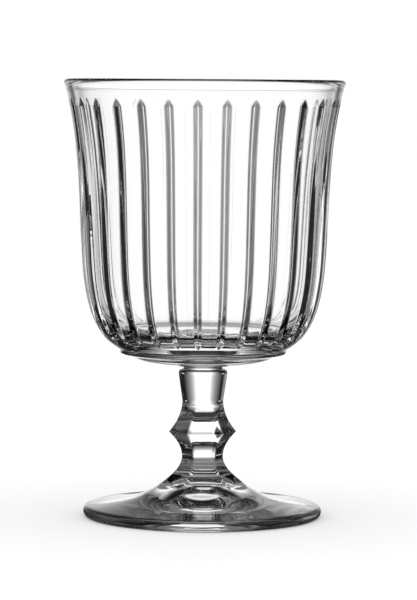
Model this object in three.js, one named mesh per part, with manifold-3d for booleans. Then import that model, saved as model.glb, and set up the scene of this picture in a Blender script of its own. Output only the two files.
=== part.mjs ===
// A stemmed drinking glass of clear pressed glass, in millimetres, with +Z up.
// The origin is on the axis of the glass, at the level of the table that it stands on.
// Bowl, joining wafer, stem and foot are pressed one by one and fused face to face on flat joints.
import * as THREE from 'three';
import { mergeVertices } from 'three/addons/utils/BufferGeometryUtils.js';
import Module from 'manifold-3d';

// Heights of the pieces, from the table up
const FOOT_HEIGHT = 13.8;
const STEM_LENGTH = 33.7;
const WAFER_THICKNESS = 1;
const BOWL_HEIGHT = 91.5;

// Foot: a domed disc with a rounded edge, standing on a flat ring round a recess.
// The stem's six flats run on over the upper part of its dome.
const FOOT_RADIUS = 38.2;
const FOOT_EDGE_ROUND = 1.75;
const FOOT_EDGE_OPENING = 80;
const RESTING_RING_WIDTH = 3.2;
const RECESS_DEPTH = 6.4;
const RECESS_TOP_REACH = 4;
const RECESS_SHOULDER = [8, 4.2];
const RECESS_SLOPE_CORNER = [13, 1];
const DOME_KNEE_RADIUS = 18.8;
const DOME_KNEE_HEIGHT = 7.2;
const DOME_KNEE_SLOPE = 0.48;
const DOME_INNER_REACH = 4.6;
const DOME_OUTER_REACH = 4;
const DOME_FACET_RADIUS = 12.6;
const DOME_FACET_FADE = 1.3;

// Stem: round under the bowl, six-sided from above the knop down
const STEM_BASE_RADIUS = 9.5;
const LOWER_NECK_RADIUS = 6.6;
const LOWER_NECK_HEIGHT = 5.6;
const KNOP_RADIUS = 10.85;
const KNOP_HEIGHT = 13.45;
const UPPER_NECK_RADIUS = 6.6;
const UPPER_NECK_HEIGHT = 23.6;
const SHOULDER_RADIUS = 7.9;
const SHOULDER_ROUND = 1.4;
const FLARE_BEND = 2.9;
const LOWER_FLANK_BEND = 3.7;
const UPPER_FLANK_BEND = 5.2;
const TAPER_BEND = 3.1;
const TAPER_SPREAD = 0.5;
const FACET_TOP_HEIGHT = 20.4;
const FACET_FADE_LENGTH = 1.3;
const ARRIS_BLUNTING = 0.03;
const STEM_TURN = 5.5;

// Wafer: the thin disc of glass that joins bowl and stem
const WAFER_RADIUS = 6.4;
const WAFER_WAIST = 0.15;

// Bowl, outside: short neck, saucer-like underside, ledge, upright band, belly, long wall and rounded lip
const BOWL_NECK_LENGTH = 0.4;
const BOWL_NECK_SPREAD = 0.4;
const BAND_RADIUS = 26.6;
const BAND_HEIGHT = 4.1;
const BAND_WIDTH = 1.1;
const LEDGE_WIDTH = 3.4;
const LEDGE_RISE = 0.85;
const SAUCER_CORNER_RADIUS = 19;
const BELLY_RADIUS = 39.1;
const BELLY_HEIGHT = 34.5;
const BELLY_LOW_REACH = [8.3, 4.4];
const BELLY_HIGH_REACH = [1, 15.4];
const WALL_LOW_REACH = [1.3, 20];
const WALL_HIGH_REACH = [4.5, 18.9];
const RIM_RADIUS = 45;
const LIP_ROUND = 1.3;
const LIP_START = -25;
const LIP_UNDERCUT = 1.2;

// Bowl, inside: a wall of even thickness over a thick, slightly dished floor
const WALL_THICKNESS = 2.9;
const FLOOR_THICKNESS = 8.9;
const FLOOR_RADIUS = 23.5;
const FLOOR_DISH = 0.5;
const INSIDE_CORNER_REACH = [9.5, 2.5];
const INSIDE_BELLY_REACH = [1, 16];

// Upright V-grooves pressed into the outside of the bowl, pointed at the top and blunt at the foot
const GROOVE_COUNT = 30;
const GROOVE_ANGLE = 4.2;
const GROOVE_DEPTH = 1.2;
const GROOVE_FOOT_HEIGHT = 7.7;
const GROOVE_FOOT_LENGTH = 1.6;
const GROOVE_TIP_GAP = 5.9;
const GROOVE_TIP_LENGTH = 2.6;
const GROOVE_TURN = -2.8;

// Steps round the axis, and how far a six-sided cutter runs past the piece that it cuts
const STEM_STEPS = 48;
const FACETS = 6;
const FACET_OVERRUN = 1;
const SECTOR_COLUMNS = 4;

const glass = (name) => {
  const material = new THREE.MeshStandardMaterial({
    color: 0xf4f6f6,
    roughness: 0.05,
    metalness: 0,
    transparent: true,
    opacity: 0.35,
  });
  material.name = name;
  return material;
};

// A curve that leaves start towards corner and comes to end from it
const bend = (start, corner, end) => new THREE.QuadraticBezierCurve(start, corner, end);

const arc = (centre, radius, fromDegrees, toDegrees, steps) =>
  Array.from({ length: steps + 1 }, (_, i) => {
    const angle = THREE.MathUtils.degToRad(THREE.MathUtils.lerp(fromDegrees, toDegrees, i / steps));
    return new THREE.Vector2(centre.x + radius * Math.cos(angle), centre.y + radius * Math.sin(angle));
  });

// The profile without the points that repeat the one before
const joined = (...stretches) =>
  stretches.flat().filter((point, i, all) => i === 0 || point.distanceTo(all[i - 1]) > 1e-6);

// A solid turned about +Z from a profile of (radius, height) points
const turned = (profile, steps) => {
  const geometry = new THREE.LatheGeometry(profile, steps);
  return geometry.rotateX(Math.PI / 2);
};

const point = (radius, height) => new THREE.Vector2(radius, height);

// The outline of the flats, seen at their arrises, and one wide enough to leave the round form alone
const sharp = (p) => point(p.x * (1 + ARRIS_BLUNTING), p.y);
const clear = (radius) => (radius * (1 + ARRIS_BLUNTING)) / Math.cos(Math.PI / FACETS);

// Radius at a height, on a curve that rises all the way
const radiusAt = (curve, height) => {
  let low = 0;
  let high = 1;
  for (let i = 0; i < 40; i += 1) {
    const middle = (low + high) / 2;
    if (curve.getPoint(middle).y < height) low = middle;
    else high = middle;
  }
  return curve.getPoint(low).x;
};

const evenly = (from, to, steps) =>
  Array.from({ length: steps + 1 }, (_, i) => THREE.MathUtils.lerp(from, to, i / steps));

// The upper part of the foot, up to the face that the stem stands on
function domeCurve() {
  const knee = point(DOME_KNEE_RADIUS, DOME_KNEE_HEIGHT);
  const innerCorner = point(
    DOME_KNEE_RADIUS - DOME_INNER_REACH,
    DOME_KNEE_HEIGHT + DOME_INNER_REACH * DOME_KNEE_SLOPE,
  );
  return bend(knee, innerCorner, point(STEM_BASE_RADIUS, FOOT_HEIGHT));
}

function footRound(domePoints) {
  const recessRadius = FOOT_RADIUS - FOOT_EDGE_ROUND - RESTING_RING_WIDTH;
  const shoulder = point(...RECESS_SHOULDER);
  const recessTop = bend(point(0, RECESS_DEPTH), point(RECESS_TOP_REACH, RECESS_DEPTH), shoulder);
  const recessSlope = bend(shoulder, point(...RECESS_SLOPE_CORNER), point(recessRadius, 0));
  const recess = [...recessTop.getPoints(4), ...recessSlope.getPoints(4)];
  const edgeCentre = point(FOOT_RADIUS - FOOT_EDGE_ROUND, FOOT_EDGE_ROUND);
  const edge = [
    ...arc(edgeCentre, FOOT_EDGE_ROUND, -90, 0, 3),
    ...arc(edgeCentre, FOOT_EDGE_ROUND, 0, FOOT_EDGE_OPENING, 2).slice(1),
  ];
  const outerCorner = point(
    DOME_KNEE_RADIUS + DOME_OUTER_REACH,
    DOME_KNEE_HEIGHT - DOME_OUTER_REACH * DOME_KNEE_SLOPE,
  );
  const brim = bend(edge.at(-1), outerCorner, domePoints[0]).getPoints(6);
  return joined(recess, edge, brim, domePoints, [point(0, FOOT_HEIGHT)]);
}

// The flats follow the dome down to where they fade, and the cutter is wide open below
function footFacets(domePoints) {
  const faded = domePoints.find((p) => p.x <= DOME_FACET_RADIUS + DOME_FACET_FADE);
  const flat = domePoints.filter((p) => p.x <= DOME_FACET_RADIUS).map(sharp);
  const past = clear(FOOT_RADIUS);
  const top = FOOT_HEIGHT + FACET_OVERRUN;
  return joined(
    [point(0, -FACET_OVERRUN), point(past, -FACET_OVERRUN), point(past, faded.y)],
    [point(clear(faded.x), faded.y)],
    flat,
    [point(flat.at(-1).x, top), point(0, top)],
  );
}

// Curves of the stem where it is round, which the arrises of the six-sided part also reach
function stemCurves() {
  const base = point(STEM_BASE_RADIUS, 0);
  const lowerNeck = point(LOWER_NECK_RADIUS, LOWER_NECK_HEIGHT);
  const knop = point(KNOP_RADIUS, KNOP_HEIGHT);
  const upperNeck = point(UPPER_NECK_RADIUS, UPPER_NECK_HEIGHT);
  const shoulder = point(SHOULDER_RADIUS, STEM_LENGTH - SHOULDER_ROUND);
  const taperCorner = point(UPPER_NECK_RADIUS + TAPER_SPREAD, UPPER_NECK_HEIGHT + TAPER_BEND);
  return {
    flare: bend(base, point(LOWER_NECK_RADIUS, LOWER_NECK_HEIGHT - FLARE_BEND), lowerNeck),
    lowerFlank: bend(lowerNeck, point(LOWER_NECK_RADIUS, LOWER_NECK_HEIGHT + LOWER_FLANK_BEND), knop),
    upperFlank: bend(knop, point(UPPER_NECK_RADIUS, UPPER_NECK_HEIGHT - UPPER_FLANK_BEND), upperNeck),
    taper: bend(upperNeck, taperCorner, shoulder),
  };
}

function stemRound(curves) {
  const shoulderCentre = point(SHOULDER_RADIUS - SHOULDER_ROUND, STEM_LENGTH - SHOULDER_ROUND);
  return joined(
    [point(0, 0)],
    curves.flare.getPoints(6),
    curves.lowerFlank.getPoints(7),
    curves.upperFlank.getPoints(8),
    curves.taper.getPoints(5),
    arc(shoulderCentre, SHOULDER_ROUND, 0, 90, 4),
    [point(0, STEM_LENGTH)],
  );
}

// Outline of the arrises before they are blunted; above the flats it swells clear of the round stem
function stemFacets(curves) {
  const upperFlank = curves.upperFlank.getPoints(8).filter((p) => p.y < FACET_TOP_HEIGHT);
  const facetTop = sharp(point(radiusAt(curves.upperFlank, FACET_TOP_HEIGHT), FACET_TOP_HEIGHT));
  const fadeEnd = point(clear(UPPER_NECK_RADIUS), FACET_TOP_HEIGHT + FACET_FADE_LENGTH);
  const fade = bend(facetTop, point(facetTop.x, fadeEnd.y), fadeEnd);
  const past = clear(KNOP_RADIUS);
  return joined(
    [point(0, -FACET_OVERRUN), sharp(point(STEM_BASE_RADIUS, -FACET_OVERRUN))],
    curves.flare.getPoints(6).map(sharp),
    curves.lowerFlank.getPoints(7).map(sharp),
    upperFlank.map(sharp),
    fade.getPoints(4),
    [point(past, fadeEnd.y + FACET_OVERRUN), point(past, STEM_LENGTH + FACET_OVERRUN)],
    [point(0, STEM_LENGTH + FACET_OVERRUN)],
  );
}

const wasm = await Module();
wasm.setup();

const solidOf = (geometry) => {
  const bare = geometry.clone();
  bare.deleteAttribute('normal');
  bare.deleteAttribute('uv');
  const merged = mergeVertices(bare, 1e-4);
  const mesh = new wasm.Mesh({
    numProp: 3,
    vertProperties: merged.attributes.position.array,
    triVerts: new Uint32Array(merged.index.array),
  });
  return new wasm.Manifold(mesh);
};

const geometryOf = (solid) => {
  const mesh = solid.getMesh();
  const geometry = new THREE.BufferGeometry();
  geometry.setAttribute('position', new THREE.BufferAttribute(mesh.vertProperties, 3));
  geometry.setIndex(new THREE.BufferAttribute(mesh.triVerts, 1));
  return geometry;
};

// A round solid cut to the flats; half a facet of turn puts a flat, not an arris, towards -Y
const cutToFlats = (roundProfile, facetProfile) => {
  const body = solidOf(turned(roundProfile, STEM_STEPS));
  const facets = solidOf(turned(facetProfile, FACETS).rotateZ(Math.PI / FACETS));
  return geometryOf(body.intersect(facets));
};

function footGeometry() {
  const domePoints = domeCurve().getPoints(10);
  return cutToFlats(footRound(domePoints), footFacets(domePoints));
}

function stemGeometry() {
  const curves = stemCurves();
  return cutToFlats(stemRound(curves), stemFacets(curves));
}

function waferGeometry() {
  // The corner of the side's curve lies twice as deep as the waist
  const corner = point(WAFER_RADIUS - WAFER_WAIST * 2, WAFER_THICKNESS / 2);
  const side = bend(point(WAFER_RADIUS, 0), corner, point(WAFER_RADIUS, WAFER_THICKNESS));
  return turned(joined([point(0, 0)], side.getPoints(2), [point(0, WAFER_THICKNESS)]), STEM_STEPS);
}

// The outside curves of the bowl, and the inside ones that keep the wall's thickness to them
function bowlCurves() {
  const bandTop = point(BAND_RADIUS, BAND_HEIGHT + BAND_WIDTH);
  const belly = point(BELLY_RADIUS, BELLY_HEIGHT);
  const lipCentre = point(RIM_RADIUS - LIP_ROUND, BOWL_HEIGHT - LIP_ROUND);
  const wallDirection = new THREE.Vector2(...WALL_HIGH_REACH).normalize();
  const wallSlant = THREE.MathUtils.radToDeg(Math.atan2(wallDirection.x, wallDirection.y));
  const lip = [
    ...arc(lipCentre, LIP_ROUND, LIP_START, 0, 1),
    ...arc(lipCentre, LIP_ROUND, 0, 180 - wallSlant, 4).slice(1),
  ];
  // The wall meets the underside of the lip in a short hollow bend
  const lipStart = THREE.MathUtils.degToRad(LIP_START);
  const underLip = point(Math.sin(lipStart), -Math.cos(lipStart));
  const hollowCorner = lip[0].clone().addScaledVector(underLip, LIP_UNDERCUT);
  const wallEnd = hollowCorner.clone().addScaledVector(wallDirection, -LIP_UNDERCUT);
  const hollow = bend(wallEnd, hollowCorner, lip[0]);
  const offset = (p, reach, sign) => point(p.x + sign * reach[0], p.y + sign * reach[1]);
  const outsideBelly = new THREE.CubicBezierCurve(
    bandTop,
    offset(bandTop, BELLY_LOW_REACH, 1),
    offset(belly, BELLY_HIGH_REACH, -1),
    belly,
  );
  const outsideWall = new THREE.CubicBezierCurve(
    belly,
    offset(belly, WALL_LOW_REACH, 1),
    offset(wallEnd, WALL_HIGH_REACH, -1),
    wallEnd,
  );
  const floorEdge = point(FLOOR_RADIUS, FLOOR_THICKNESS + BOWL_NECK_LENGTH);
  const insideBellyTop = point(BELLY_RADIUS - WALL_THICKNESS, BELLY_HEIGHT);
  const insideBelly = new THREE.CubicBezierCurve(
    floorEdge,
    offset(floorEdge, INSIDE_CORNER_REACH, 1),
    offset(insideBellyTop, INSIDE_BELLY_REACH, -1),
    insideBellyTop,
  );
  const insideWall = new THREE.CubicBezierCurve(
    insideBellyTop,
    offset(insideBellyTop, WALL_LOW_REACH, 1),
    offset(lip.at(-1), WALL_HIGH_REACH, -1),
    lip.at(-1),
  );
  return { bandTop, hollow, lip, outsideBelly, outsideWall, floorEdge, insideBelly, insideWall };
}

function bowlGeometry() {
  const curves = bowlCurves();
  const neck = point(WAFER_RADIUS + BOWL_NECK_SPREAD, BOWL_NECK_LENGTH);
  const band = point(BAND_RADIUS, BAND_HEIGHT);
  const ledge = point(BAND_RADIUS - LEDGE_WIDTH, BAND_HEIGHT - LEDGE_RISE);
  const corner = point(SAUCER_CORNER_RADIUS, BOWL_NECK_LENGTH);
  const saucer = bend(neck, corner, ledge).getPoints(4);
  const underside = [point(0, 0), point(WAFER_RADIUS, 0), ...saucer, band];

  // The grooved stretch has its rows at the ends of the grooves
  const tipHeight = BOWL_HEIGHT - GROOVE_TIP_GAP;
  const footFull = GROOVE_FOOT_HEIGHT + GROOVE_FOOT_LENGTH;
  const tipFull = tipHeight - GROOVE_TIP_LENGTH;
  const heights = [
    curves.bandTop.y,
    (curves.bandTop.y + GROOVE_FOOT_HEIGHT) / 2,
    GROOVE_FOOT_HEIGHT,
    ...evenly(footFull, BELLY_HEIGHT, 6),
    ...evenly(BELLY_HEIGHT, tipFull, 5).slice(1),
    tipHeight,
  ];
  const outside = heights.map((height) => {
    const curve = height < BELLY_HEIGHT ? curves.outsideBelly : curves.outsideWall;
    return point(radiusAt(curve, height), height);
  });
  const inside = [
    ...curves.insideWall.getPoints(4).reverse(),
    ...curves.insideBelly.getPoints(6).reverse(),
    point(0, curves.floorEdge.y - FLOOR_DISH),
  ];
  const profile = joined(underside, outside, curves.hollow.getPoints(2), curves.lip, inside);
  const geometry = new THREE.LatheGeometry(profile, GROOVE_COUNT * SECTOR_COLUMNS);

  // Depth of a groove at a row of the profile, full between its two ends
  const firstRow = profile.findIndex((p) => p.y === footFull);
  const lastRow = profile.findIndex((p) => p.y === tipFull);
  const grooved = (row) => row >= firstRow && row <= lastRow;

  // Each sector's columns: groove bottom, its edge, the middle of the land, and the next groove's edge
  const sector = (2 * Math.PI) / GROOVE_COUNT;
  const halfGroove = THREE.MathUtils.degToRad(GROOVE_ANGLE / 2);
  const columnAngles = [0, halfGroove, sector / 2, sector - halfGroove];
  const position = geometry.attributes.position;
  for (let i = 0; i < position.count; i += 1) {
    const row = i % profile.length;
    const column = Math.floor(i / profile.length);
    const place = column % SECTOR_COLUMNS;
    const angle = Math.floor(column / SECTOR_COLUMNS) * sector + columnAngles[place];
    const depth = place === 0 && grooved(row) ? GROOVE_DEPTH : 0;
    const radius = profile[row].x - depth;
    position.setXYZ(i, radius * Math.sin(angle), profile[row].y, radius * Math.cos(angle));
  }
  geometry.computeVertexNormals();
  return geometry.rotateX(Math.PI / 2);
}

// A named piece with its base at a height, turned about the axis
const piece = (name, geometry, base, turnDegrees) => {
  const mesh = new THREE.Mesh(geometry, glass(`${name}_glass`));
  mesh.name = name;
  mesh.position.z = base;
  mesh.rotation.z = THREE.MathUtils.degToRad(turnDegrees);
  return mesh;
};

const stemBase = FOOT_HEIGHT;
const waferBase = stemBase + STEM_LENGTH;
const bowlBase = waferBase + WAFER_THICKNESS;

const drinkingGlass = new THREE.Group();
drinkingGlass.add(
  piece('foot', footGeometry(), 0, STEM_TURN),
  piece('stem', stemGeometry(), stemBase, STEM_TURN),
  piece('joining_wafer', waferGeometry(), waferBase, 0),
  piece('bowl', bowlGeometry(), bowlBase, GROOVE_TURN),
);

export default drinkingGlass;
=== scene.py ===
# %% [markdown]
# # A pressed-glass goblet
# The object is a clear stemmed drinking glass: a flared bowl with upright V-grooves, a thin joining wafer,
# a stem with a six-sided knop, and a domed foot. The four are fused, so no light bends where they meet.
# Everything is in metres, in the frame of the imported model, which is loaded first. Its four solids are
# faceted, and each of them is replaced here by a finer piece with the same sizes.

import math

import bpy
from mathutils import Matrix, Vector


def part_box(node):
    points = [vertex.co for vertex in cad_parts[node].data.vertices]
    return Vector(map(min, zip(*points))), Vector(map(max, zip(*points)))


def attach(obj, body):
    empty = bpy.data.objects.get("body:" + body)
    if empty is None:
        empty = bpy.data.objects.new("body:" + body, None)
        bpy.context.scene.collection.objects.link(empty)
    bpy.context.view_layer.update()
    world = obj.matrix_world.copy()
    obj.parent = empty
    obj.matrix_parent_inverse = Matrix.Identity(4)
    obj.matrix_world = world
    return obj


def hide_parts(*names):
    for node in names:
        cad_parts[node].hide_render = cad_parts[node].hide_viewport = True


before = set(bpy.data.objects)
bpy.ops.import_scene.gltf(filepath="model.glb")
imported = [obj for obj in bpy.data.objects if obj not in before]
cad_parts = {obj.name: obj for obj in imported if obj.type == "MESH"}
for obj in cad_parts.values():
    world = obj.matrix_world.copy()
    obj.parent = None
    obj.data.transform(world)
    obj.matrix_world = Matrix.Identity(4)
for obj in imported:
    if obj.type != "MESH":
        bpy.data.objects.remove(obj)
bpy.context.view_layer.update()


# %% [markdown]
# ## Sizes
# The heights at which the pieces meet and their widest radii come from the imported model. The rest are the
# maker's sizes in millimetres, measured up from each piece's own base.

# %% Heights and radii from the model
MM = 0.001


def outer_radius(node):
    low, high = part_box(node)
    return (high.x - low.x) / 2


FOOT_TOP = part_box("foot")[1].z
STEM_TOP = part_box("stem")[1].z
BOWL_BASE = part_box("bowl")[0].z
RIM_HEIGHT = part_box("bowl")[1].z
FOOT_RADIUS = outer_radius("foot")
RIM_RADIUS = outer_radius("bowl")
print(f"foot to {FOOT_TOP:.4f}, stem to {STEM_TOP:.4f}, bowl {BOWL_BASE:.4f} to {RIM_HEIGHT:.4f} m")

# %% [markdown]
# ## Drawing and spinning a profile
# A mould for pressed glass is turned on a lathe, so every piece starts as a profile spun about the axis.
# The profile could be a chain of extruded vertices. Bezier curves are better: a few points with handles
# give a stretch that stays smooth at any number of steps, and glass shows every kink.
# A stretch is four points, its start, two handles and its end, and then its number of steps.


# %% Stretches of a profile
def at(radius, height):
    """A point of a profile, from millimetres, in the plane of X and Z."""
    return Vector((radius * MM, 0, height * MM))


def line(start, end, steps):
    return (start, start.lerp(end, 1 / 3), start.lerp(end, 2 / 3), end, steps)


def bend(start, corner, end, steps):
    """A curve that leaves start towards corner, and comes to end from it."""
    return (start, start.lerp(corner, 2 / 3), end.lerp(corner, 2 / 3), end, steps)


def arc(centre, radius, from_degrees, to_degrees, steps):
    start_angle, end_angle = math.radians(from_degrees), math.radians(to_degrees)
    reach = 4 / 3 * math.tan((end_angle - start_angle) / 4) * radius

    def on_circle(angle):
        return centre + radius * Vector((math.cos(angle), 0, math.sin(angle)))

    def along(angle):
        return reach * Vector((-math.sin(angle), 0, math.cos(angle)))

    start, end = on_circle(start_angle), on_circle(end_angle)
    return (start, start + along(start_angle), end - along(end_angle), end, steps)


# %% Cutting a stretch at a height
HALVINGS = 40


def cut(stretch, t):
    """The two parts of a stretch, split at a share t of the way along it."""
    a, b, c, d, steps = stretch
    ab, bc, cd = a.lerp(b, t), b.lerp(c, t), c.lerp(d, t)
    abc, bcd = ab.lerp(bc, t), bc.lerp(cd, t)
    middle = abc.lerp(bcd, t)
    return (a, ab, abc, middle, steps), (middle, bcd, cd, d, steps)


def cut_at_heights(stretch, heights, steps):
    """A rising stretch in parts that end at the given heights, each with its own number of steps."""
    parts = []
    rest = stretch
    for height in heights:
        low, high = 0.0, 1.0
        for _ in range(HALVINGS):
            t = (low + high) / 2
            if cut(rest, t)[0][3].z < height * MM:
                low = t
            else:
                high = t
        part, rest = cut(rest, low)
        parts.append(part)
    parts.append(rest)
    return [(*part[:4], count) for part, count in zip(parts, steps)]


# %% Drawing the curve and spinning it
MERGE = 0.002 * MM


def deselect():
    bpy.ops.object.select_all(action="DESELECT")


def edit(piece):
    """Opens a piece for editing, with all of it selected."""
    deselect()
    bpy.context.view_layer.objects.active = piece
    piece.select_set(True)
    bpy.ops.object.mode_set(mode="EDIT")
    bpy.ops.mesh.select_all(action="SELECT")


def close_edit():
    """Merges what meets, and leaves edit mode."""
    bpy.ops.mesh.select_all(action="SELECT")
    bpy.ops.mesh.remove_doubles(threshold=MERGE)
    bpy.ops.object.mode_set(mode="OBJECT")


def draw_profile(name, stretches):
    """One Bezier spline for each stretch, turned into a chain of edges."""
    deselect()
    bpy.ops.curve.primitive_bezier_curve_add(location=(0, 0, 0))
    profile = bpy.context.object
    profile.name = name
    profile.data.dimensions = "3D"
    profile.data.splines.clear()
    for start, leave, arrive, end, steps in stretches:
        spline = profile.data.splines.new("BEZIER")
        spline.bezier_points.add(1)
        spline.resolution_u = steps
        first, last = spline.bezier_points
        for point in (first, last):
            point.handle_left_type = "FREE"
            point.handle_right_type = "FREE"
        first.co, first.handle_left, first.handle_right = start, start, leave
        last.co, last.handle_left, last.handle_right = end, arrive, end
    bpy.ops.object.convert(target="MESH")
    profile.data.name = name
    edit(profile)
    close_edit()
    return profile


def spin_piece(piece, steps, turn=2 * math.pi, copies=False):
    """Spins the profile, or copies of the piece, about the axis and merges what meets.
    Spin turns clockwise about its axis, so the axis points down."""
    edit(piece)
    bpy.ops.mesh.spin(steps=steps, angle=turn, center=(0, 0, 0), axis=(0, 0, -1), dupli=copies)
    close_edit()


# %% Finishing a surface
def open_edges(piece):
    """How many edges don't have exactly two faces."""
    uses = {}
    for face in piece.data.polygons:
        for key in face.edge_keys:
            uses[key] = uses.get(key, 0) + 1
    return sum(count != 2 for count in uses.values())


def finish_surface(piece, base):
    """Lifts a piece to the height of its base, turns its faces outwards and shades them smooth."""
    edit(piece)
    bpy.ops.transform.translate(value=(0, 0, base))
    bpy.ops.mesh.normals_make_consistent(inside=False)
    bpy.ops.mesh.faces_shade_smooth()
    close_edit()
    triangles = sum(len(face.vertices) - 2 for face in piece.data.polygons)
    print(f"{piece.name}: {triangles} triangles, {open_edges(piece)} open edges")


def turn_piece(piece, degrees):
    """Turns a piece about the axis of the glass, vertex by vertex, so that its object stays unturned."""
    turn = math.radians(degrees)
    for vertex in piece.data.vertices:
        x, y, z = vertex.co
        vertex.co.x = x * math.cos(turn) - y * math.sin(turn)
        vertex.co.y = x * math.sin(turn) + y * math.cos(turn)


# %% [markdown]
# ## Bowl
# The bowl is pressed in a grooved mould round a smooth plunger, and its lip is rounded in a flame. Its base
# is a thick slab with a saucer-like underside, a narrow ledge and an upright band, which looks almost black.
# The grooves could be cut with a Boolean, but its long slivers shade badly in clear glass. So one sector of
# the bowl is spun, its grid is pressed in where the groove lies, and copies of it close the ring.

# %% Bowl sizes
BOWL_HEIGHT = (RIM_HEIGHT - BOWL_BASE) / MM
LIP_RADIUS = RIM_RADIUS / MM
WAFER_RADIUS = 6.4
NECK_LENGTH = 0.4
NECK_SPREAD = 0.4
BAND_RADIUS = 26.6
BAND_HEIGHT = 4.1
BAND_WIDTH = 1.1
BAND_ROUND = 0.35
BAND_FILLET = 1.6
LEDGE_WIDTH = 3.4
LEDGE_RISE = 0.85
LEDGE_ROUND = 0.5
SAUCER_CORNER_RADIUS = 19
BELLY_RADIUS = 39.1
BELLY_HEIGHT = 34.5
BELLY_LOW_REACH = (8.3, 4.4)
BELLY_HIGH_REACH = (1, 15.4)
WALL_LOW_REACH = (1.3, 20)
WALL_HIGH_REACH = (4.5, 18.9)
LIP_ROUND = 1.3
LIP_START = -25
LIP_UNDERCUT = 1.2
WALL_THICKNESS = 2.9
FLOOR_HEIGHT = 9.3
FLOOR_RADIUS = 23.5
FLOOR_DISH = 0.5
FLOOR_CORNER_ROUND = 0.8
INSIDE_CORNER_REACH = (9.5, 2.5)
INSIDE_BELLY_REACH = (1, 16)
lip_centre = at(LIP_RADIUS - LIP_ROUND, BOWL_HEIGHT - LIP_ROUND)
print(f"bowl {BOWL_HEIGHT:.1f} mm high, {2 * LIP_RADIUS:.1f} mm across its lip")

# %% Groove sizes
GROOVE_COUNT = 30
GROOVE_ANGLE = 4.2
GROOVE_DEPTH = 1.2
GROOVE_FOOT = 7.7
GROOVE_FOOT_LENGTH = 1.6
GROOVE_TIP = BOWL_HEIGHT - 5.9
GROOVE_TIP_LENGTH = 2.6
GROOVE_TURN = -2.8
GROOVE_BOTTOM_ROUND = 0.06
GROOVE_EDGE_ROUND = 0.04
GROOVE_END_MARGIN = 0.4
print(f"{GROOVE_COUNT} grooves from {GROOVE_FOOT} to {GROOVE_TIP:.1f} mm over the base of the bowl")


# %% Outside of the bowl
def rounded_corner(before, corner, after, size, steps):
    """A bend round a corner, and its two ends, each the size in millimetres from the corner."""
    start = corner + (before - corner).normalized() * size * MM
    end = corner + (after - corner).normalized() * size * MM
    return start, bend(start, corner, end, steps), end


def bowl_outside():
    """From the middle of the joint, over underside, band, belly and wall, to the crest of the lip.
    The rows lie close together where the grooves end."""
    joint_edge = at(WAFER_RADIUS, 0)
    neck = at(WAFER_RADIUS + NECK_SPREAD, NECK_LENGTH)
    saucer_corner = at(SAUCER_CORNER_RADIUS, NECK_LENGTH)
    ledge = at(BAND_RADIUS - LEDGE_WIDTH, BAND_HEIGHT - LEDGE_RISE)
    arris = at(BAND_RADIUS, BAND_HEIGHT)
    band_top = at(BAND_RADIUS, BAND_HEIGHT + BAND_WIDTH)
    belly = at(BELLY_RADIUS, BELLY_HEIGHT)
    belly_curve = (band_top, band_top + at(*BELLY_LOW_REACH), belly - at(*BELLY_HIGH_REACH), belly, 1)
    saucer_end, ledge_bend, ledge_start = rounded_corner(saucer_corner, ledge, arris, LEDGE_ROUND, 5)
    ledge_end, arris_bend, band_start = rounded_corner(ledge, arris, band_top, BAND_ROUND, 4)
    _, belly_curve = cut(belly_curve, BAND_FILLET / math.hypot(*BELLY_LOW_REACH) / 3)
    under_lip = arc(lip_centre, LIP_ROUND * MM, LIP_START, 0, 4)
    over_lip = arc(lip_centre, LIP_ROUND * MM, 0, 90, 8)
    slant = math.radians(LIP_START)
    undercut = under_lip[0] + at(math.sin(slant), -math.cos(slant)) * LIP_UNDERCUT
    wall_end = undercut - at(*WALL_HIGH_REACH).normalized() * LIP_UNDERCUT * MM
    wall_curve = (belly, belly + at(*WALL_LOW_REACH), wall_end - at(*WALL_HIGH_REACH), wall_end, 1)
    foot_ends = (GROOVE_FOOT - GROOVE_END_MARGIN, GROOVE_FOOT + GROOVE_FOOT_LENGTH + GROOVE_END_MARGIN)
    tip_ends = (GROOVE_TIP - GROOVE_TIP_LENGTH - GROOVE_END_MARGIN, GROOVE_TIP + GROOVE_END_MARGIN)
    return [
        line(at(0, 0), joint_edge, 3),
        line(joint_edge, neck, 2),
        bend(neck, saucer_corner, saucer_end, 12),
        ledge_bend,
        line(ledge_start, ledge_end, 3),
        arris_bend,
        bend(band_start, band_top, belly_curve[0], 8),
        *cut_at_heights(belly_curve, foot_ends, (3, 12, 16)),
        *cut_at_heights(wall_curve, tip_ends, (18, 14, 3)),
        bend(wall_end, undercut, under_lip[0], 6),
        under_lip,
        over_lip,
    ]


# %% Inside of the bowl
def bowl_inside():
    """From the crest of the lip down the wall, round the corner and over the dished floor."""
    wall_slant = math.degrees(math.atan2(*WALL_HIGH_REACH))
    lip = arc(lip_centre, LIP_ROUND * MM, 90, 180 - wall_slant, 8)
    lip_end = lip[3]
    belly = at(BELLY_RADIUS - WALL_THICKNESS, BELLY_HEIGHT)
    corner = at(FLOOR_RADIUS, FLOOR_HEIGHT)
    floor_middle = at(0, FLOOR_HEIGHT - FLOOR_DISH)
    wall_foot = corner + at(*INSIDE_CORNER_REACH).normalized() * FLOOR_CORNER_ROUND * MM
    floor_edge = corner + (floor_middle - corner).normalized() * FLOOR_CORNER_ROUND * MM
    dish = at(FLOOR_RADIUS / 2, FLOOR_HEIGHT - FLOOR_DISH)
    return [
        lip,
        (lip_end, lip_end - at(*WALL_HIGH_REACH), belly + at(*WALL_LOW_REACH), belly, 18),
        (belly, belly - at(*INSIDE_BELLY_REACH), corner + at(*INSIDE_CORNER_REACH), wall_foot, 16),
        bend(wall_foot, corner, floor_edge, 5),
        bend(floor_edge, dish, floor_middle, 6),
    ]


# %% [markdown]
# ## Grooves
# A groove is a V that takes up the same angle all the way, with a round foot and a pointed tip, pressed into
# the outside only. Columns at even angles would miss its edges. So each sector has narrow columns in its
# groove, one just past its edge, and wide ones on the plain land between two grooves.

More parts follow.
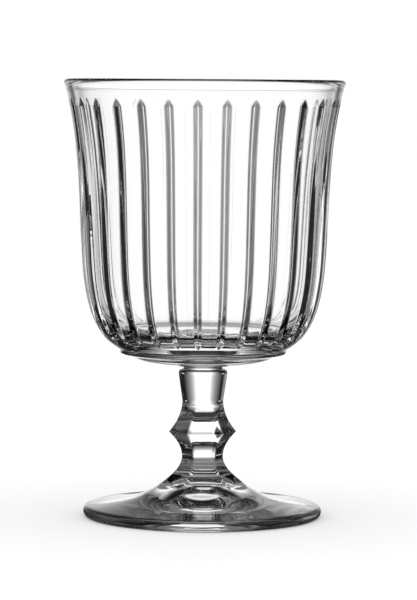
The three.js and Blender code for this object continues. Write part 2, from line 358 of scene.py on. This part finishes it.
# %% Where the columns of a sector lie
SECTOR_STEPS = 18
SECTOR = 2 * math.pi / GROOVE_COUNT
HALF_GROOVE = math.radians(GROOVE_ANGLE / 2)
COLUMN_PLACES = (0, 0.1, 0.36, 0.64, 0.92, 1.08)


def column_angle(share):
    """Angle of a column off the middle of the groove, where share runs from -1 to 1 over the sector.
    The first columns have their places in the groove, in half widths of it. The rest share the land."""
    index = round(abs(share) * SECTOR_STEPS / 2)
    last = len(COLUMN_PLACES) - 1
    if index <= last:
        angle = HALF_GROOVE * COLUMN_PLACES[index]
    else:
        edge = HALF_GROOVE * COLUMN_PLACES[last]
        angle = edge + (SECTOR / 2 - edge) * (index - last) / (SECTOR_STEPS / 2 - last)
    return math.copysign(angle, share)


# %% Depth of the groove
FALL_BELOW_FOOT = 2


def groove_share(height):
    """1 along the groove, falling to 0 at its round foot and its pointed tip, and below 0 past them."""
    above_foot = (height - GROOVE_FOOT) / GROOVE_FOOT_LENGTH
    below_tip = (GROOVE_TIP - height) / GROOVE_TIP_LENGTH
    if above_foot > 0:
        round_foot = math.sin(min(above_foot, 1) * math.pi / 2)
    else:
        round_foot = above_foot * FALL_BELOW_FOOT
    return min(round_foot, below_tip, 1)


def groove_depth(angle, height):
    """Depth of the V at an angle off its middle, with a soft bottom and soft edges."""
    across = math.hypot(angle / HALF_GROOVE, GROOVE_BOTTOM_ROUND)
    share = groove_share(height) - across
    return GROOVE_DEPTH * (share + math.hypot(share, GROOVE_EDGE_ROUND)) / 2


# %% One sector of a skin
def spin_sector(skin, grooved):
    """Spins a skin over one sector, with the groove in the middle of it if it has one.
    Each vertex keeps how deep it was pressed, which the glass finish reads."""
    spin_piece(skin, SECTOR_STEPS, SECTOR)
    pressed = skin.data.attributes.new("pressed_depth", "FLOAT", "POINT")
    lowest = BAND_HEIGHT + BAND_WIDTH
    highest = BOWL_HEIGHT - 2 * LIP_ROUND
    for vertex in skin.data.vertices:
        x, y, z = vertex.co
        radius = math.hypot(x, y)
        if radius < MERGE:
            continue
        share = 2 * math.atan2(y, x) / SECTOR - 1
        angle = column_angle(max(-1.0, min(1.0, share)))
        if grooved and lowest < z / MM < highest:
            depth = groove_depth(angle, z / MM) * MM
            pressed.data[vertex.index].value = depth
            radius -= depth
        vertex.co = (radius * math.cos(angle), radius * math.sin(angle), z)


# %% Making the bowl
def join(*pieces):
    deselect()
    for piece in pieces:
        piece.select_set(True)
    bpy.context.view_layer.objects.active = pieces[0]
    bpy.ops.object.join()
    return pieces[0]


outer_skin = draw_profile("glass_bowl", bowl_outside())
spin_sector(outer_skin, grooved=True)
inner_skin = draw_profile("bowl_inside", bowl_inside())
spin_sector(inner_skin, grooved=False)
bowl = join(outer_skin, inner_skin)
edit(bowl)
close_edit()
spin_piece(bowl, GROOVE_COUNT, copies=True)
turn_piece(bowl, GROOVE_TURN - 90)
finish_surface(bowl, BOWL_BASE)

# %% [markdown]
# ## Joining wafer
# A gather of hot glass, pressed flat between bowl and stem. Only its narrow side shows, between two fine
# notches. It is spun like the rest, because a plain cylinder has no waist and no rings on its faces.

# %% Making the wafer
WAFER_WAIST = 0.15
WAFER_COLUMNS = 192
wafer_height = (BOWL_BASE - STEM_TOP) / MM
waist = at(WAFER_RADIUS - 2 * WAFER_WAIST, wafer_height / 2)
wafer_profile = [
    line(at(0, 0), at(WAFER_RADIUS, 0), 3),
    bend(at(WAFER_RADIUS, 0), waist, at(WAFER_RADIUS, wafer_height), 8),
    line(at(WAFER_RADIUS, wafer_height), at(0, wafer_height), 3),
]
wafer = draw_profile("glass_joining_wafer", wafer_profile)
spin_piece(wafer, WAFER_COLUMNS)
finish_surface(wafer, STEM_TOP)

# %% [markdown]
# ## Stem
# The stem is pressed in a mould with six flats that run from the foot up over the knop and fade out above
# it. Its knop has a keen edge round the middle. A six-sided cylinder with bevels can't fade to round, so
# the round stem is spun, and each vertex that lies outside a flat is pressed back on to it.

# %% Stem sizes
STEM_LENGTH = (STEM_TOP - FOOT_TOP) / MM
STEM_BASE_RADIUS = 9.5
NECK_RADIUS = 6.6
LOWER_NECK_HEIGHT = 5.6
KNOP_RADIUS = 10.85
KNOP_HEIGHT = 13.45
KNOP_EDGE_SHARE = 0.015
UPPER_NECK_HEIGHT = 23.6
SHOULDER_RADIUS = 7.9
SHOULDER_ROUND = 1.4
FLARE_BEND = 2.9
LOWER_FLANK_BEND = 3.7
UPPER_FLANK_BEND = 5.2
TAPER_BEND = 3.1
TAPER_SPREAD = 0.5
STEM_TURN = 5.5
STEM_COLUMNS = 240
print(f"stem {STEM_LENGTH:.1f} mm long, its knop {2 * KNOP_RADIUS:.1f} mm across")


# %% Round profile of the stem
def stem_profile():
    """From the middle of its base, over flare, knop, taper and shoulder, to the middle of its top."""
    base = at(STEM_BASE_RADIUS, 0)
    lower_neck = at(NECK_RADIUS, LOWER_NECK_HEIGHT)
    knop = at(KNOP_RADIUS, KNOP_HEIGHT)
    upper_neck = at(NECK_RADIUS, UPPER_NECK_HEIGHT)
    lower_corner = at(NECK_RADIUS, LOWER_NECK_HEIGHT + LOWER_FLANK_BEND)
    upper_corner = at(NECK_RADIUS, UPPER_NECK_HEIGHT - UPPER_FLANK_BEND)
    lower_flank, _ = cut(bend(lower_neck, lower_corner, knop, 18), 1 - KNOP_EDGE_SHARE)
    _, upper_flank = cut(bend(knop, upper_corner, upper_neck, 34), KNOP_EDGE_SHARE)
    knop_edge = bend(lower_flank[3], knop, upper_flank[0], 5)
    shoulder_centre = at(SHOULDER_RADIUS - SHOULDER_ROUND, STEM_LENGTH - SHOULDER_ROUND)
    shoulder = arc(shoulder_centre, SHOULDER_ROUND * MM, 0, 90, 8)
    taper_corner = at(NECK_RADIUS + TAPER_SPREAD, UPPER_NECK_HEIGHT + TAPER_BEND)
    return [
        line(at(0, 0), base, 3),
        bend(base, at(NECK_RADIUS, LOWER_NECK_HEIGHT - FLARE_BEND), lower_neck, 16),
        lower_flank,
        knop_edge,
        upper_flank,
        bend(upper_neck, taper_corner, shoulder[0], 12),
        shoulder,
        line(shoulder[3], at(WAFER_RADIUS, STEM_LENGTH), 1),
        line(at(WAFER_RADIUS, STEM_LENGTH), at(0, STEM_LENGTH), 3),
    ]


# %% How far out the flats lie
FACETS = 6
FACET_TOP = 20.4
FACET_FADE = 1.3
FADE_END = 2
FADE_SWELL = 1.3
ARRIS_BLUNTING = 0.03
ARRIS_ROUND = 0.12
FLAT_SHARE = math.cos(math.pi / FACETS) * (1 + ARRIS_BLUNTING)


def flat_distance(round_radius, fade):
    """Distance of a flat from the axis. It grows clear of the round glass as fade goes from 0 to 1."""
    swell = (1 / FLAT_SHARE - 1) * fade**2 * FADE_SWELL
    return round_radius * FLAT_SHARE * (1 + swell)


def press_flats(piece, fade_at):
    """Presses the six flats on to a round piece, where fade_at says how far past their end a point is."""
    facet = 2 * math.pi / FACETS
    for vertex in piece.data.vertices:
        x, y, z = vertex.co
        radius = math.hypot(x, y)
        fade = max(0, fade_at(radius / MM, z / MM))
        if radius < MERGE or fade > FADE_END:
            continue
        off_middle = (math.atan2(y, x) + facet / 2) % facet - facet / 2
        flat_radius = flat_distance(radius, fade) / math.cos(off_middle)
        gap = flat_radius - radius
        pressed = (flat_radius + radius - math.hypot(gap, ARRIS_ROUND * MM)) / 2
        vertex.co.x *= pressed / radius
        vertex.co.y *= pressed / radius


# %% Making the stem
def past_top(radius, height):
    """The flats fade above the knop."""
    return (height - FACET_TOP) / FACET_FADE


stem = draw_profile("glass_stem", stem_profile())
spin_piece(stem, STEM_COLUMNS)
press_flats(stem, past_top)
turn_piece(stem, STEM_TURN - 90)
finish_surface(stem, FOOT_TOP)

# %% [markdown]
# ## Foot
# A domed disc with a blunt, rounded edge. The stem's flats run on over its cone and fade before the knee,
# where the disc begins. It stands on a flat ring round a bell-shaped recess, so it doesn't rock.
# A flat underside would be simpler, but the recess is a lens: its deep bell gives the small bright ellipse,
# the dark crescent over it and the nested arcs that show in the dome.

# %% Foot sizes
DISC_RADIUS = FOOT_RADIUS / MM
FOOT_HEIGHT = FOOT_TOP / MM
FOOT_EDGE_ROUND = 1.75
FOOT_EDGE_OPENING = 80
RESTING_RING_WIDTH = 3.2
RECESS_DEPTH = 6.4
RECESS_TOP_REACH = 4
RECESS_SHOULDER = (8, 4.2)
RECESS_SLOPE_CORNER = (13, 1)
KNEE_RADIUS = 18.8
KNEE_HEIGHT = 7.2
KNEE_SLOPE = 0.48
DOME_INNER_REACH = 4.6
DOME_OUTER_REACH = 4
CONE_FACET_RADIUS = 12.6
CONE_FACET_FADE = 1.3
print(f"foot {2 * DISC_RADIUS:.1f} mm across and {FOOT_HEIGHT:.1f} mm high")


# %% Profile of the foot
def foot_profile():
    """From the middle of the recess, over the resting ring, the edge and the dome, to the stem's seat."""
    recess_radius = DISC_RADIUS - FOOT_EDGE_ROUND - RESTING_RING_WIDTH
    edge_centre = at(DISC_RADIUS - FOOT_EDGE_ROUND, FOOT_EDGE_ROUND)
    lower_edge = arc(edge_centre, FOOT_EDGE_ROUND * MM, -90, 0, 7)
    upper_edge = arc(edge_centre, FOOT_EDGE_ROUND * MM, 0, FOOT_EDGE_OPENING, 7)
    knee = at(KNEE_RADIUS, KNEE_HEIGHT)
    outer_corner = knee + at(DOME_OUTER_REACH, -DOME_OUTER_REACH * KNEE_SLOPE)
    inner_corner = knee - at(DOME_INNER_REACH, -DOME_INNER_REACH * KNEE_SLOPE)
    seat = at(STEM_BASE_RADIUS, FOOT_HEIGHT)
    shoulder = at(*RECESS_SHOULDER)
    return [
        bend(at(0, RECESS_DEPTH), at(RECESS_TOP_REACH, RECESS_DEPTH), shoulder, 12),
        bend(shoulder, at(*RECESS_SLOPE_CORNER), at(recess_radius, 0), 16),
        line(at(recess_radius, 0), lower_edge[0], 4),
        lower_edge,
        upper_edge,
        bend(upper_edge[3], outer_corner, knee, 22),
        bend(knee, inner_corner, seat, 20),
        line(seat, at(0, FOOT_HEIGHT), 4),
    ]


# %% Making the foot
def past_cone(radius, height):
    """The flats run down over the cone of the foot. The rest of it, and the underside, stay round."""
    if height < KNEE_HEIGHT:
        return FADE_END + 1
    return (radius - CONE_FACET_RADIUS) / CONE_FACET_FADE


foot = draw_profile("glass_foot", foot_profile())
spin_piece(foot, STEM_COLUMNS)
press_flats(foot, past_cone)
turn_piece(foot, STEM_TURN - 90)
finish_surface(foot, 0)

# %% [markdown]
# ## Shader maths
# The finish of the glass and the shades of the set are sums of a few values. Each sum could be built node by
# node, but nobody can read that back. So a small class wraps a socket, and Python's own signs add the nodes.


# %% A socket that does sums
class Socket:
    """Wraps a shader socket, so that an expression on it adds the nodes for its sums."""

    def __init__(self, tree, link=None):
        self.tree = tree
        self.link = link

    def node(self, kind, settings=None, **inputs):
        """Adds a node. An input goes by its name with _ for a space, or by _ and its number."""
        node = self.tree.nodes.new(kind)
        for name, value in (settings or {}).items():
            setattr(node, name, value)
        for name, value in inputs.items():
            place = int(name[1:]) if name[0] == "_" else name.replace("_", " ")
            if isinstance(value, Socket):
                self.tree.links.new(value.link, node.inputs[place])
            else:
                node.inputs[place].default_value = value
        return node

    def out(self, node, output=0):
        """An output of a node, ready for sums."""
        return Socket(self.tree, node.outputs[output])

    def maths(self, operation, first, second):
        return self.out(self.node("ShaderNodeMath", {"operation": operation}, _0=first, _1=second))

    def root(self):
        return self.maths("POWER", self, 0.5)

    def above(self, limit):
        """1 where the value is greater than the limit, and 0 elsewhere."""
        return self.maths("GREATER_THAN", self, limit)

    def angle_from(self, axis):
        """Angle in degrees off an axis, where this is the part across it."""
        return self.maths("ARCTAN2", self, axis) * (180 / math.pi)

    def ramp(self, stops, widest):
        """A grey that runs through the stops, pairs of a value up to the widest and a brightness."""
        ramp = self.node("ShaderNodeValToRGB", None, Fac=self * (1 / widest))
        points = ramp.color_ramp.elements
        while len(points) < len(stops):
            points.new(0.5)
        for point, (value, brightness) in zip(points, stops):
            point.position = value / widest
            point.color = (brightness, brightness, brightness, 1)
        return self.out(ramp)

    def __add__(self, other):
        return self.maths("ADD", self, other)

    def __mul__(self, other):
        return self.maths("MULTIPLY", self, other)

    def __sub__(self, other):
        return self.maths("SUBTRACT", self, other)

    def __rsub__(self, other):
        return self.maths("SUBTRACT", other, self)

    __radd__ = __add__
    __rmul__ = __mul__


def bare_material(name):
    """A material with no nodes, and a start from which they are added."""
    material = bpy.data.materials.new(name)
    material.use_nodes = True
    material.node_tree.nodes.clear()
    return material, Socket(material.node_tree)


# %% [markdown]
# ## Glass
# Clear glass is a Principled shader with full transmission. A flat one looks like plastic: pressed glass is
# gently uneven, because the mould chills its skin. Two noises at different scales feed a bump, the slow one
# shifts the tint a little, and the fine one the polish.
# In the photograph the far side's grooves don't show through the near wall. So the bowl's bump fills them up
# again by the depth that the mesh keeps, for light that has already passed the near wall.

# %% Glass finish
WAVE_HEIGHT = 0.01
SKIN_SCALE = 600.0
SKIN_SHARE = 0.02
POLISH_LOSS = 0.01
GLASS_IOR = 1.5
DEEPER_TINT = (0.985, 0.99, 0.99, 1)
LIGHTER_TINT = (0.995, 0.995, 0.995, 1)
FAR_SIDE_LIFT = 1.3
NEAR_WALL_CROSSINGS = 2.5


def far_side_filling(start):
    """Height that smooths the grooves where light leaves through the far side."""
    pressed = start.out(start.node("ShaderNodeAttribute", {"attribute_name": "pressed_depth"}), "Fac")
    leaving = start.out(start.node("ShaderNodeNewGeometry"), "Backfacing")
    crossings = start.out(start.node("ShaderNodeLightPath"), "Transmission Depth")
    far_side = leaving * crossings.above(NEAR_WALL_CROSSINGS)
    return pressed * far_side * FAR_SIDE_LIFT


def glass_finish(name, wave_size, fill_far_side=False):
    """Clear glass with slow waves of the size in millimetres, and a fine skin over them."""
    material, start = bare_material(name)
    place = start.out(start.node("ShaderNodeTexCoord"), "Object")
    scale = 1 / (wave_size * MM)
    waves = start.out(start.node("ShaderNodeTexNoise", None, Vector=place, Scale=scale, Detail=1.0))
    skin = start.out(start.node("ShaderNodeTexNoise", None, Vector=place, Scale=SKIN_SCALE, Detail=2.0))
    height = (waves + skin * SKIN_SHARE) * WAVE_HEIGHT * MM
    if fill_far_side:
        height = height + far_side_filling(start)
    bump = start.node("ShaderNodeBump", None, Height=height, Strength=1.0, Distance=1.0)
    tint = start.node("ShaderNodeMix", {"data_type": "RGBA"}, _0=waves, _6=DEEPER_TINT, _7=LIGHTER_TINT)
    glass = start.node(
        "ShaderNodeBsdfPrincipled",
        None,
        Base_Color=start.out(tint, 2),
        Normal=start.out(bump),
        Roughness=skin * POLISH_LOSS,
        Transmission_Weight=1.0,
        IOR=GLASS_IOR,
    )
    start.node("ShaderNodeOutputMaterial", None, Surface=start.out(glass))
    print(f"{name}: waves of {wave_size} mm")
    return material


bowl_glass = glass_finish("pressed_bowl_glass", 18, fill_far_side=True)
stem_glass = glass_finish("pressed_stem_glass", 8)
foot_glass = glass_finish("pressed_foot_glass", 14)

# %% [markdown]
# ## Fused joints
# Where two pieces are fused, the real glass has no surface left. The four could be merged into one mesh, but
# then they would no longer be pieces. So each keeps its flat faces at the joints, and light runs straight
# through those, because they are transparent and not glass.


# %% Fused faces
def fused_joint():
    """Light runs straight through a fused face, so it is left transparent."""
    material, start = bare_material("fused_joint")
    clear = start.node("ShaderNodeBsdfTransparent")
    start.node("ShaderNodeOutputMaterial", None, Surface=start.out(clear))
    return material


joint = fused_joint()


def dress(piece, glass, joints):
    """Glass all over, apart from the flat faces that are fused to the next piece."""
    piece.data.materials.append(glass)
    piece.data.materials.append(joint)
    count = 0
    for face in piece.data.polygons:
        radius = math.hypot(face.center.x, face.center.y)
        for height, joint_radius in joints:
            if abs(face.center.z - height) < 2 * MERGE and radius < joint_radius * MM:
                face.material_index = 1
                count += 1
    print(f"{piece.name}: {count} fused faces")


bowl_joint = (BOWL_BASE, WAFER_RADIUS)
wafer_joint = (STEM_TOP, WAFER_RADIUS)
foot_joint = (FOOT_TOP, STEM_BASE_RADIUS)
dress(bowl, bowl_glass, [bowl_joint])
dress(wafer, stem_glass, [bowl_joint, wafer_joint])
dress(stem, stem_glass, [wafer_joint, foot_joint])
dress(foot, foot_glass, [foot_joint])

# %% [markdown]
# ## Pieces on the frame
# Each dressed piece stands for its solid and stays with the one body that the fused glass makes.

# %% Riding on the frame
for piece, node in ((bowl, "bowl"), (wafer, "joining_wafer"), (stem, "stem"), (foot, "foot")):
    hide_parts(node)
    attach(piece, "root")
    print(piece.name, "stands for", node)

# %% [markdown]
# ## Camera
# The photograph was taken level with the rim, from about a metre away: the rim shows as one line, and the
# ellipses open towards the foot. Distance, height and focal length follow from how fast they open. The real
# bowl leans a little on its stem, and a slight roll of the camera stands for that.

# %% Camera
CAMERA_DISTANCE = 0.966
CAMERA_HEIGHT = 0.138
AIM_HEIGHT = 0.0695
FRAME_WIDTH = 417
FRAME_HEIGHT = 600
FOCAL_PIXELS = 3025
AXIS_COLUMN = 203.5
ROLL = math.radians(0.4)
SENSOR_HEIGHT = 24
NEAREST_SEEN = 0.01

bpy.ops.object.camera_add(location=(0, -CAMERA_DISTANCE, CAMERA_HEIGHT))
camera = bpy.context.object
aim = Vector((0, 0, AIM_HEIGHT)) - camera.location
camera.rotation_euler = aim.to_track_quat("-Z", "Y").to_euler()
camera.rotation_euler.rotate_axis("Z", ROLL)
camera.data.sensor_fit = "VERTICAL"
camera.data.sensor_height = SENSOR_HEIGHT
camera.data.lens = FOCAL_PIXELS / FRAME_HEIGHT * SENSOR_HEIGHT
camera.data.shift_x = (FRAME_WIDTH / 2 - AXIS_COLUMN) / FRAME_HEIGHT
camera.data.clip_start = NEAREST_SEEN
bpy.context.scene.camera = camera
print(f"lens {camera.data.lens:.1f} mm, shift {camera.data.shift_x:.4f}")

# %% [markdown]
# ## Studio
# Glass has no colour of its own, so it is drawn by what stands round it. The photograph is a bright-field
# set: white right behind the glass, and dark at the sides and overhead, which its edges bend into view.
# Lamps would light the floor but hardly the glass. So the set is a dome and a floor card that glow, and only
# the glass sees them. In such a studio the glass stands on a turntable and the set stays with the camera, so
# dome and card hang on a stand that turns to the camera about the upright axis.

# %% Stand that turns with the camera
bpy.ops.object.empty_add(location=(0, 0, 0))
stand = bpy.context.object
stand.name = "studio_stand"
follow = stand.constraints.new("LOCKED_TRACK")
follow.target = camera
follow.track_axis = "TRACK_NEGATIVE_Y"
follow.lock_axis = "LOCK_Z"
print(stand.name, "turns to", camera.name)


def hang_on_stand(card):
    """A card of the set that only the glass sees: it neither shows nor darkens the floor."""
    card.parent = stand
    card.visible_camera = False
    card.visible_diffuse = False
    card.visible_shadow = False


# %% [markdown]
# ## Floor
# The floor that the camera sees is a plain pale sheet with the soft shadow of the foot on it. It glows very
# little, just enough to be as white as the world behind it. The glass sees the floor card in its place.

# %% Floor
FLOOR_SIZE = 8
FLOOR_COLOUR = (0.95, 0.95, 0.95, 1)
FLOOR_ROUGHNESS = 0.9
FLOOR_GLOW = 0.13
WHITE = (1, 1, 1, 1)

floor_paint, start = bare_material("pale_floor")
surface = start.node(
    "ShaderNodeBsdfPrincipled",
    None,
    Base_Color=FLOOR_COLOUR,
    Roughness=FLOOR_ROUGHNESS,
    Specular_IOR_Level=0.0,
    Emission_Color=WHITE,
    Emission_Strength=FLOOR_GLOW,
)
start.node("ShaderNodeOutputMaterial", None, Surface=start.out(surface))
bpy.ops.mesh.primitive_plane_add(size=FLOOR_SIZE, location=(0, 0, 0))
floor = bpy.context.object
floor.name = "floor"
floor.data.materials.append(floor_paint)
floor.visible_glossy = False
floor.visible_transmission = False
print(f"floor {FLOOR_SIZE} m wide")

# %% [markdown]
# ## Shades of the set
# The shade of a point on the set depends on where it lies from the axis of the glass: 0 degrees is straight
# behind the glass, 90 to the side and 180 at the camera. Separate cards could be cut for each shade, but
# their hard edges would show in the glass. A ramp over the angle or the distance falls off as softly as a
# lit backdrop does.

# %% Angles and distances on the set
WIDEST_ANGLE = 180
WIDEST_DISTANCE = 1


def places_on_set(start):
    """Coordinates of a point, its distance from the axis, and its angle off the line behind the glass."""
    place = start.out(start.node("ShaderNodeTexCoord"), "Object")
    parts = start.node("ShaderNodeSeparateXYZ", None, Vector=place)
    x, y, z = (start.out(parts, axis) for axis in "XYZ")
    away = (x * x + y * y).root()
    turned = (x * x + z * z).root().angle_from(y)
    return x, y, z, away, turned


def glow(start, white):
    """Ends a material of the set: it shines by itself and needs no lamp."""
    shine = start.node("ShaderNodeEmission", None, Color=white, Strength=1.0)
    start.node("ShaderNodeOutputMaterial", None, Surface=start.out(shine))


# %% [markdown]
# ## Dome
# The backdrop is white up to 12 degrees off the line of sight and dark from 40, so the middle of the glass
# is clear and its edges are drawn in black. Low on the left it has a soft glow, which the foot bends across
# to its right side, the lighter one in the photograph.

# %% Dome
BACKDROP_STOPS = ((0, 1.2), (12, 1.2), (15, 0.85), (20, 0.45), (26, 0.25), (32, 0.13), (40, 0.02), (46, 0.01))
LEFT_STOPS = ((0, 0), (45, 0), (58, 0.4), (85, 0.4), (100, 0))
LOW_SLOPE = 1.7
BACKDROP_DISTANCE = 1.4
BACKDROP_FOOT = -0.01
BACKDROP_COLUMNS = 64
BACKDROP_ROWS = 32


def backdrop_white():
    material, start = bare_material("backdrop_white")
    x, y, z, away, turned = places_on_set(start)
    leftward = (x * -1).angle_from(y)
    low = away.above(z * LOW_SLOPE)
    left_glow = leftward.ramp(LEFT_STOPS, WIDEST_ANGLE) * low
    glow(start, turned.ramp(BACKDROP_STOPS, WIDEST_ANGLE) + left_glow)
    return material


bpy.ops.mesh.primitive_uv_sphere_add(
    segments=BACKDROP_COLUMNS,
    ring_count=BACKDROP_ROWS,
    radius=BACKDROP_DISTANCE,
    location=(0, 0, 0),
)
backdrop = bpy.context.object
backdrop.name = "backdrop"
edit(backdrop)
bpy.ops.mesh.bisect(plane_co=(0, 0, BACKDROP_FOOT), plane_no=(0, 0, 1), clear_inner=True)
close_edit()
backdrop.data.materials.append(backdrop_white())
hang_on_stand(backdrop)
print(f"dome of {len(backdrop.data.polygons)} faces, {BACKDROP_DISTANCE} m from the glass")

# %% [markdown]
# ## Floor card
# The table as the glass sees it. It is white far behind, and dark at the sides. Painted shade makes it dark
# in a ring round the foot and grey under the foot, which makes the foot lighter from above. A painted
# reflection makes it brightest where it is seen flat, as a polished table is, and two pale strips far off
# lighten the flanks of the bowl.

# %% Floor card
# painted shade: dark in a ring round the foot, fading out to white
FOOT_SHADE_STOPS = ((0, 0), (0.043, 0), (0.05, 0.2), (0.09, 0.35), (0.13, 0.9), (0.18, 1))
FLOOR_STOPS = ((0, 1.2), (12, 1.2), (17, 0.75), (22, 0.4), (30, 0.1), (38, 0.02), (60, 0.02))
# painted reflection of a polished table, by how flat the card is seen
PAINTED_REFLECTION_STOPS = ((0.3, 0.3), (0.44, 0.2), (0.5, 0.04), (0.58, 0.8), (0.66, 1))
# painted shade: grey under the foot
UNDER_FOOT_SHADE_STOPS = ((0, 0.2), (0.029, 0.2), (0.034, 0))
STRIP_STOPS = ((37, 0), (39, 0.8), (47, 0.8), (49, 0))
STRIP_START = 0.3
CARD_DEPTH = 0.0005
CARD_CORNERS = 96


def card_white():
    material, start = bare_material("card_white")
    _, _, _, away, turned = places_on_set(start)
    flatness = start.out(start.node("ShaderNodeLayerWeight", None, Blend=0.5), "Facing")
    # painted shade: the table fades to dark in a ring round the foot
    table = turned.ramp(FLOOR_STOPS, WIDEST_ANGLE) * away.ramp(FOOT_SHADE_STOPS, WIDEST_DISTANCE)
    # painted reflection: the card glows brighter where it is seen flat, as a polished table would
    table = table * flatness.ramp(PAINTED_REFLECTION_STOPS, 1)
    strips = turned.ramp(STRIP_STOPS, WIDEST_ANGLE) * away.above(STRIP_START)
    # painted shade: under the foot the card is grey, not white
    glow(start, table + away.ramp(UNDER_FOOT_SHADE_STOPS, WIDEST_DISTANCE) + strips)
    return material


bpy.ops.mesh.primitive_circle_add(
    vertices=CARD_CORNERS,
    radius=BACKDROP_DISTANCE,
    fill_type="NGON",
    location=(0, 0, 0),
)
card = bpy.context.object
card.name = "floor_card"
edit(card)
bpy.ops.transform.translate(value=(0, 0, -CARD_DEPTH))
close_edit()
card.data.materials.append(card_white())
hang_on_stand(card)
print(f"floor card {BACKDROP_DISTANCE} m in radius")

# %% [markdown]
# ## World
# The world lights the floor evenly and is the white behind it. In the glass it is almost black, so that
# nothing but the set draws there. Light Path tells the two apart: a ray that looks through or off the glass,
# before it has met the floor, sees the dark one.

# %% World
WORLD_LIGHT = 1.0
WORLD_IN_GLASS = 0.03

world = bpy.data.worlds.new("studio_light")
bpy.context.scene.world = world
world.use_nodes = True
world.node_tree.nodes.clear()
start = Socket(world.node_tree)
path = start.node("ShaderNodeLightPath")
looking = start.out(path, "Is Glossy Ray") + start.out(path, "Is Transmission Ray")
direct = 1 - start.out(path, "Diffuse Depth")
light = start.node("ShaderNodeBackground", None, Color=WHITE, Strength=WORLD_LIGHT)
dark = start.node("ShaderNodeBackground", None, Color=WHITE, Strength=WORLD_IN_GLASS)
both = start.node(
    "ShaderNodeMixShader",
    None,
    _0=looking * direct,
    _1=start.out(light),
    _2=start.out(dark),
)
start.node("ShaderNodeOutputWorld", None, Surface=start.out(both))
print(f"world {WORLD_LIGHT} on the floor, {WORLD_IN_GLASS} in the glass")

# %% [markdown]
# ## Paths of light
# A ray crosses the glass many times before it leaves, and one that is stopped early ends as a black spot.
# So the limits on the number of crossings are raised, above all for the thick base and the foot.

# %% Paths of light
PATH_CROSSINGS = 32
GLOSSY_CROSSINGS = 24

scene = bpy.context.scene
scene.cycles.max_bounces = PATH_CROSSINGS
scene.cycles.glossy_bounces = GLOSSY_CROSSINGS
scene.cycles.transmission_bounces = PATH_CROSSINGS
scene.cycles.transparent_max_bounces = PATH_CROSSINGS
scene.view_settings.view_transform = "Standard"
print(f"light paths of up to {scene.cycles.max_bounces} crossings")

# %% [markdown]
# ## Last update
# The view layer is updated once more at the end.

# %% Last update
bpy.context.view_layer.update()
